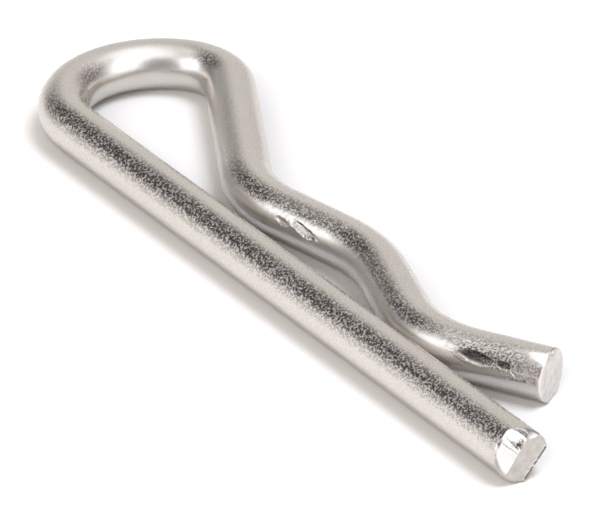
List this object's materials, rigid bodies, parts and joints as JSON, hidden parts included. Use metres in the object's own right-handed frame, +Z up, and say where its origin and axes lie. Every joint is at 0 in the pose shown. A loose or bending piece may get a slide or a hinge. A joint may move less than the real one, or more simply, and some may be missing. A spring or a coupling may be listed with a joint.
{
  "type": "hitch r clip pin",
  "caption": "Bent spring-wire clip with a rounded bow, a straight leg for the cross hole of a shaft and a waved leg that snaps over the outside of the shaft.",
  "frame": {"origin": "centre of the clip's box on the ground plane that it lies on", "axes": "+X from the bow towards the free ends, +Y from the straight leg towards the waved leg, +Z up through the wire"},
  "size_m": [0.0858, 0.0228, 0.005],
  "materials": {
    "steel_wire": "satin drawn spring wire with a fine grainy skin"
  },
  "bodies": {
    "root": {"r_clip": "steel_wire"}
  },
  "joints": []
}
